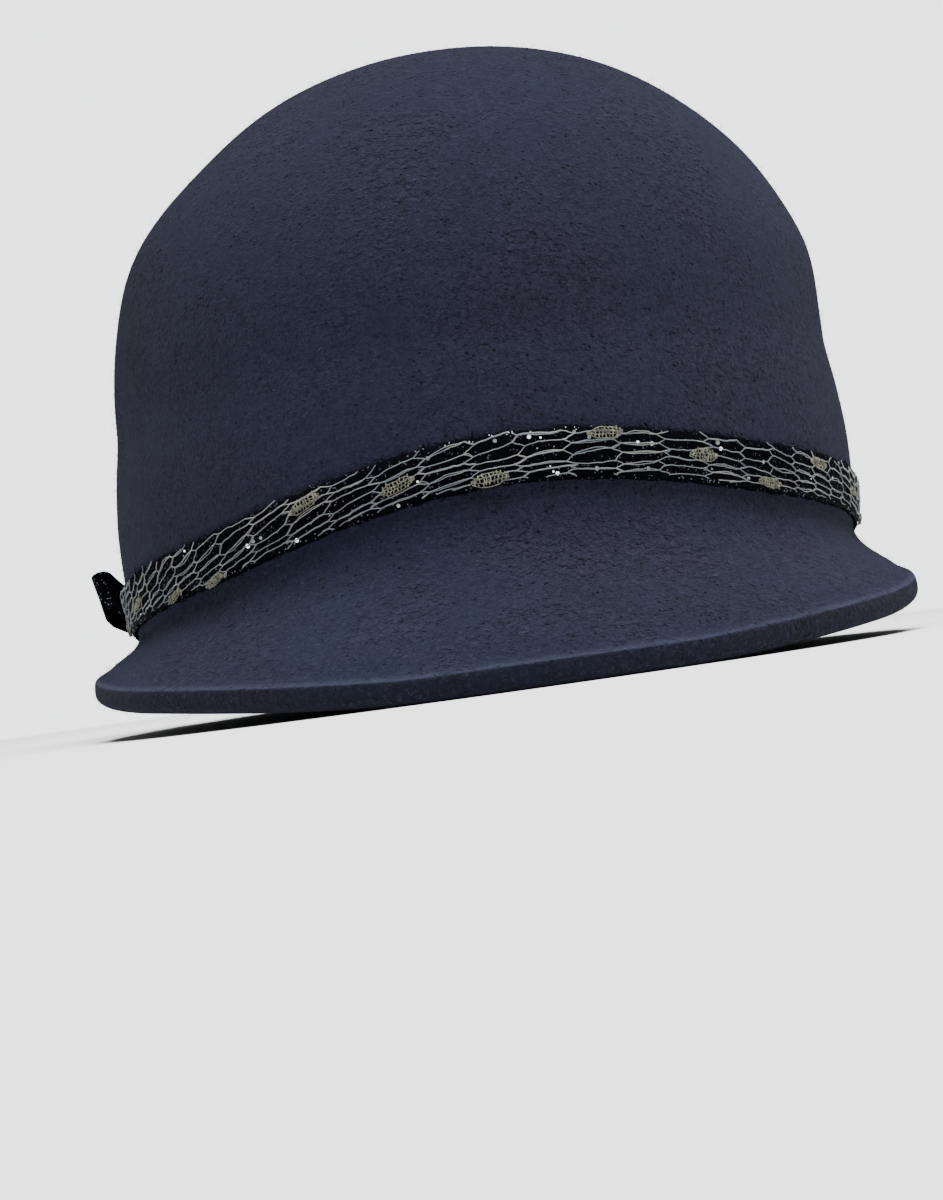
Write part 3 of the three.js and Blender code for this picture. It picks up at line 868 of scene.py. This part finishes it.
def dot_places():
    """The dots seen in front, then the same cycle of low, high and middle carried on behind."""
    places = list(DOT_PLACES)
    random = np.random.default_rng(71)
    for k in range(DOTS_BEHIND):
        plan = DOT_PLACES[-1][0] + DOT_STEP * (k + 1)
        places.append((plan, DOT_HEIGHTS_BEHIND[k % 3] + random.uniform(-0.6, 0.6)))
    return places


def woven_dots():
    """Cells of the net darned shut: short upright loops of thread in three rows over long ones."""
    random = np.random.default_rng(73)
    lines = []
    per_mm = 360 / (np.pi * (CROWN_WIDTH + CROWN_DEPTH) / 2)
    for plan, up in dot_places():
        tilt = random.uniform(-0.02, 0.12) - DOT_DROOP * np.sin(np.radians(plan))
        span = DOT_LONG * random.uniform(0.85, 1.1)
        tall = DOT_TALL * (0.8 + 0.2 * np.cos(2 * np.radians(plan))) * random.uniform(0.75, 1.05)

        def laid(along, across, off):
            rise = up + across + along * tilt
            return on_band(plan + along * per_mm, rise, off)

        for k in range(4):
            along = np.linspace(-0.62, 0.62, 9) * span
            bow = 1.3 * np.cos(along / span * np.pi * 0.8)
            across = (k / 3 - 0.5) * tall * np.clip(bow, 0.2, 1) + random.uniform(-0.15, 0.15)
            lines.append((laid(along, across, NET_OFF + 0.15), 0.8))
        for k in range(DOT_CORDS):
            along = (k / (DOT_CORDS - 1) - 0.5) * span + random.uniform(-0.12, 0.12)
            reach = tall / 2 * np.clip(1.8 * np.cos(along / span * np.pi * 0.8), 0.3, 1)
            reach = reach * random.uniform(0.75, 1.1)
            for row in range(3):
                low = reach * (2 * row / 3 - 1) + random.uniform(-0.1, 0.12)
                high = low + reach * 2 / 3 + random.uniform(-0.06, 0.16)
                t = np.linspace(0, 1, 4)
                lean = random.uniform(-0.14, 0.14)
                shift = along + (row % 2) * 0.22 + lean * (t - 0.5)
                arch = NET_OFF + 0.32 + 0.16 * np.sin(np.pi * t)
                lines.append((laid(shift, low + (high - low) * t, arch), 1.0))
    dots = thread_tubes("woven_dots", lines, DOT_FINISH, DOT_RADIUS, NET_WANDER)
    return hand_in(dots, "net_thread", DOT_FINISH)


woven_dots()

# Frays of the band's cut edges, three at the upper edge for each one at the lower. FRAY_BUNCHES
# are the turns of the two waves that bunch them.
BAND_FRAYS, FRAY_RADIUS, FRAY_BUNCHES = 700, 0.07, (47, 13)
FRAY_ROOT = 0.5


def band_frays():
    """Short black ends of the band's cloth that stand over its cut edges."""
    random = np.random.default_rng(77)
    lines = []
    for k in range(BAND_FRAYS):
        plan, lean = random.uniform(0, 360), random.uniform(-1.0, 1.0)
        t = np.linspace(0, 1, 4)
        bunch = 0.6 + 0.6 * np.prod([np.sin(np.radians(plan) * turns) for turns in FRAY_BUNCHES])
        if k % 4:
            up = BAND_WIDTH - FRAY_ROOT + (FRAY_ROOT + random.uniform(0.1, 1.4) * bunch) * t
        else:
            up = FRAY_ROOT - (FRAY_ROOT + random.uniform(0.1, 0.6)) * t
        off = BAND_OUTER - 0.15 - random.uniform(0.2, 0.8) * t**2
        lines.append((on_band(plan + lean * t, up, off), random.uniform(0.7, 1.4)))
    frays = thread_tubes("band_frays", lines, GLITTER_FINISH, FRAY_RADIUS, 0.1)
    return hand_in(frays, "glitter_cloth", GLITTER_FINISH)


band_frays()

# Plan angle and height over the crease of the sequins that show in front.
SEQUIN_PLACES = (
    (-33.5, 4.8), (-32.2, 4.8), (-34.5, 4.4), (-26.8, 1.5), (-12.6, 0.9), (-8.2, 8.0),
    (0.2, 8.6), (10.1, 9.0), (11.9, 7.9), (18.2, 7.1), (20.1, 7.0), (12.4, 2.0), (19.2, 2.2),
    (30.0, 8.4), (30.4, 7.3),
)
SEQUINS_LOOSE = 70
SEQUIN_RADIUS, SEQUIN_THICK = 0.42 * MM, 0.14 * MM


def sequins():
    """Tiny bright round sequins caught under the net, as rounded discs on scattered points."""
    random = np.random.default_rng(81)
    places = list(SEQUIN_PLACES)
    sizes = list(random.uniform(0.75, 1.15, len(places)))
    for _ in range(SEQUINS_LOOSE):
        places.append((random.uniform(0, 360), random.uniform(1.0, 9.4)))
        sizes.append(random.uniform(0.25, 0.6) if random.random() < 0.8 else 0.9)
    plan, up = np.array(places).T
    middle = on_band(plan, up, BAND_OUTER + 0.1)
    outward = on_band(plan, up, BAND_OUTER + 1.1) - middle
    base = mesh_object("sequin_places", middle, size=sizes, facing=outward / MM)

    tree = Growth("sequins_on_band", radius=SEQUIN_RADIUS, seed=9)
    sockets = {"Vertices": 10, "Radius": tree.given("radius"), "Depth": SEQUIN_THICK}
    disc = tree.node("GeometryNodeMeshCylinder", {"fill_type": "TRIANGLE_FAN"}, sockets, "Mesh")
    points = tree.node("GeometryNodeMeshToPoints", {}, {"Mesh": tree.base})
    sockets = {"Vector": tree.named("facing", "FLOAT_VECTOR")}
    facing = tree.node("FunctionNodeAlignRotationToVector", {"axis": "Z"}, sockets)
    tip = tree.chance((-0.3, -0.3, -3.0), (0.3, 0.3, 3.0), 1)
    tip = tree.node("FunctionNodeEulerToRotation", {}, {0: tip})
    sockets = {0: facing, 1: tip}
    facing = tree.node("FunctionNodeRotateRotation", {"rotation_space": "LOCAL"}, sockets)
    size = tree.named("size")
    sockets = {"Points": points, "Instance": disc, "Rotation": facing, "Scale": size}
    made = tree.node("GeometryNodeInstanceOnPoints", {}, sockets)
    piece = tree.finish(made, base, "bright_sequins", SEQUIN_FINISH)
    drop(base)
    return hand_in(piece, "net_thread", SEQUIN_FINISH)


sequins()

# Bow of the glitter cloth on the wearer's right.
BOW_PLAN, BOW_TILT = -107, 28
KNOT_LENGTH, KNOT_WIDTH, KNOT_THICK = 7, 8, 4.6
LOOP_LENGTH, LOOP_WIDTH, LOOP_THICK, LOOP_NECK, LOOP_CLOTH = 22, 10, 5, 2.4, 0.8
LOOP_LIFT, LOOP_START = 15, KNOT_LENGTH / 2 + CLEAR + LOOP_NECK * 0.2
# The loop's outer fold takes this share of its length of cloth.
LOOP_FOLD = 0.16
# Distance out along the loop against its width share.
LOOP_WIDTHS = np.array([(0, 0.54), (4, 0.72), (12, 1.0), (18, 0.95), (LOOP_LENGTH, 0.62)])
# The net's dots are the outermost that the bow lies on.
BOW_FOOT = BAND_OUTER + CLEAR + NET_THICK + NET_DOT_RAISE


def bow_place(points):
    """Points of the bow's own frame (along the band, up the wall, out of it) in the hat's."""
    up = crease_height(BOW_PLAN) + BAND_WIDTH / 2
    foot, above, beside = (
        placed(plan, *off_wall(plan, np.array(height, float), BOW_FOOT))
        for plan, height in ((BOW_PLAN, up), (BOW_PLAN, up + 1), (BOW_PLAN + 1, up))
    )
    upward = (above - foot) / np.linalg.norm(above - foot)
    outward = np.cross(beside - foot, upward)
    outward /= np.linalg.norm(outward)
    along = np.cross(upward, outward)
    tilt = np.radians(BOW_TILT)
    x, y, z = np.moveaxis(np.asarray(points), -1, 0)
    x, y = x * np.cos(tilt) - y * np.sin(tilt), x * np.sin(tilt) + y * np.cos(tilt)
    axes = np.stack([along, upward, outward])
    return foot + outward * CLEAR * MM + MM * np.stack([x, y, z], -1) @ axes


def loop_path(steps):
    """Out and up of the loop's outer face, seen from its side: out, round the fold and back."""
    radius = LOOP_THICK / 2
    turn = LOOP_LENGTH - radius
    flat = (1 - LOOP_FOLD) / 2
    s = np.linspace(0, 1, steps)
    lower, upper = s < flat, s > 1 - flat
    angle = np.clip((s - flat) / LOOP_FOLD, 0, 1) * np.pi - np.pi / 2
    back = np.where(upper, (1 - s) / flat * turn, turn + radius * np.cos(angle))
    x = np.where(lower, s / flat * turn, back)
    neck = np.interp(x, [0, 5, turn], [LOOP_NECK / 2, LOOP_NECK / 2 + 1.1, radius])
    return x, np.where(lower, -neck, np.where(upper, neck, radius * np.sin(angle)))


def bow_loop(name, side, node):
    """A folded ribbon that is gathered at the knot and comes to a point at its outer fold."""
    steps, across = 44, 15
    x, z = loop_path(steps)
    path = np.stack([x, z], -1)
    run = np.gradient(path, axis=0)
    normal = np.stack([run[:, 1], -run[:, 0]], -1) / np.linalg.norm(run, axis=1)[:, None]
    w = np.linspace(-1, 1, across)[None, :]
    half = np.interp(x, *LOOP_WIDTHS.T)[:, None] * LOOP_WIDTH / 2
    # The outer end is cut on a slant, the gathers die away from the knot, and the loop droops.
    outer_end = np.clip((x - 10) / 12, 0, 1)[:, None]
    slant = 1 - 0.16 * outer_end * (1 - w)
    gather = 0.34 * np.exp(-x / 6)[:, None] * np.cos(w * np.pi * 3.2)
    lift = np.radians(LOOP_LIFT)
    skins = []
    for depth in (0.0, -LOOP_CLOTH):
        at = path + normal * depth
        px = at[:, :1] * slant
        pz = at[:, 1:] + gather - 0.0065 * px**2
        out = side * (LOOP_START + px * np.cos(lift)) - pz * np.sin(lift)
        up = half * w + 0.8 * outer_end
        off = KNOT_THICK / 2 + px * np.sin(lift) + side * pz * np.cos(lift)
        skins.append(bow_place(np.stack([out, up, off], -1)))
    points = np.concatenate([skins[0], skins[1][:, ::-1]], 1)
    wide = 2 * across
    faces = skin_faces(steps, wide, ring=False)
    for start, order in ((0, 1), ((steps - 1) * wide, -1)):
        for j in range(across - 1):
            low, high = start + j, start + wide - 1 - j
            faces.append((low, high, high - 1, low + 1)[::order])
    loop = mesh_object(name, points, faces)
    outward_faces(loop)
    return hand_in(loop, "glitter_cloth", GLITTER_FINISH, node)


def bow_knot():
    """The short wrap of cloth round the middle of the bow, with its soft pleats."""
    stations, around = 15, 40
    angle = np.arange(around) * 2 * np.pi / around
    across, above = (np.sign(turn) * np.abs(turn) ** 0.6 for turn in (np.cos(angle), np.sin(angle)))
    points = []
    for x in np.linspace(-1, 1, stations):
        size = (1 - 0.16 * x**6) * (1 + 0.035 * np.sin(x * 9.0))
        skew = 0.35 * np.sin(angle * 2) * (1 - abs(x))
        y = across * KNOT_WIDTH / 2 * size
        z = (1 + above * size) * KNOT_THICK / 2
        points.append(np.stack([x * KNOT_LENGTH / 2 + skew, y, z], -1))
    faces = skin_faces(stations, around, ring=False)
    faces.append(tuple(range(around)))
    faces.append(tuple(range((stations - 1) * around, stations * around)))
    knot = mesh_object("bow_wrap", bow_place(points), faces)
    outward_faces(knot)
    return hand_in(knot, "glitter_cloth", GLITTER_FINISH, "bow_knot")


bow_loop("bow_front_loop", 1, "bow_loop_front")
bow_loop("bow_back_loop", -1, "bow_loop_back")
bow_knot()

# Camera, light and the pale floor.
LENS, SENSOR = 57.2, 36
PICTURE = (943, 1200)
AIM, AIM_PIXEL = Vector((0.0, 0.0, 0.074)), (446.7, 375.8)
DISTANCE, CAMERA_HEIGHT, AZIMUTH, ROLL = 0.454, 0.006, -1.4, 8.0
LIT_PLACE = Vector((0, 0, 0.07))
# The room's strength as a light, and as the camera sees it.
ROOM_LIGHT, ROOM_SEEN = 0.16, 2.9


def studio_camera():
    """Looks at the hat so that AIM falls on AIM_PIXEL, turned about the view as photographed."""
    focal = LENS / SENSOR * PICTURE[1]
    azimuth, roll = np.radians(AZIMUTH), np.radians(ROLL)
    rise = np.arcsin((CAMERA_HEIGHT - AIM.z) / DISTANCE)
    back = Vector((np.sin(azimuth) * np.cos(rise), -np.cos(azimuth) * np.cos(rise), np.sin(rise)))
    right = Vector((0, 0, 1)).cross(back).normalized()
    upright = Matrix((right, back.cross(right), back))
    rolled = Matrix.Rotation(roll, 3, "Z") @ upright
    ray = Vector((AIM_PIXEL[0] - PICTURE[0] / 2, PICTURE[1] / 2 - AIM_PIXEL[1], -focal))
    swing = Vector((0, 0, -1)).rotation_difference(ray).to_matrix()
    view = (swing @ rolled).transposed().to_4x4()
    view.translation = AIM + back * DISTANCE
    lens = bpy.data.cameras.new("studio_camera")
    lens.lens, lens.sensor_width = LENS, SENSOR
    lens.clip_start = 0.01
    camera = bpy.data.objects.new("studio_camera", lens)
    camera.matrix_world = view
    bpy.context.scene.collection.objects.link(camera)
    bpy.context.scene.camera = camera


def soft_light(name, place, size, power, tint=(1, 1, 1)):
    panel = bpy.data.lights.new(name, "AREA")
    panel.shape, panel.size, panel.energy, panel.color = "DISK", size, power, tint
    lamp = bpy.data.objects.new(name, panel)
    lamp.location = place
    lamp.rotation_euler = (LIT_PLACE - Vector(place)).to_track_quat("-Z", "Y").to_euler()
    bpy.context.scene.collection.objects.link(lamp)


def pale_floor():
    """A round floor under the hat."""
    radii, around = np.linspace(0.05, FLOOR_FADE[1] + 0.05, 12), 96
    angle = np.arange(around) * 2 * np.pi / around
    points = [(r * np.cos(a), r * np.sin(a), 0.0) for r in radii for a in angle]
    faces = [face[::-1] for face in skin_faces(len(radii), around, ring=False)]
    faces += [(len(points), j, (j + 1) % around) for j in range(around)]
    points.append((0.0, 0.0, 0.0))
    floor = mesh_object("pale_floor", points, faces)
    floor.data.materials.append(pale_studio())


def soft_room():
    """A pale room all round, which lights the hat less than it shows."""
    world = bpy.data.worlds.new("soft_room")
    world.use_nodes = True
    room = Tree(world.node_tree)
    seen = room.node("ShaderNodeLightPath", out="Is Camera Ray")
    sheet = world.node_tree.nodes["Background"]
    sheet.inputs["Color"].default_value = colour(0.97, 0.985, 1.0)
    strength = ROOM_LIGHT + seen * (ROOM_SEEN - ROOM_LIGHT)
    world.node_tree.links.new(strength.socket, sheet.inputs["Strength"])
    bpy.context.scene.world = world


studio_camera()
pale_floor()
soft_room()
soft_light("overhead", (0.17, -0.32, 1.5), 1.3, 82)
soft_light("key", (0.5, -1.2, 1.25), 1.0, 0.9, (1.0, 0.99, 0.97))
soft_light("fill", (-1.2, -0.8, 0.6), 1.2, 0.2, (0.94, 0.97, 1.0))
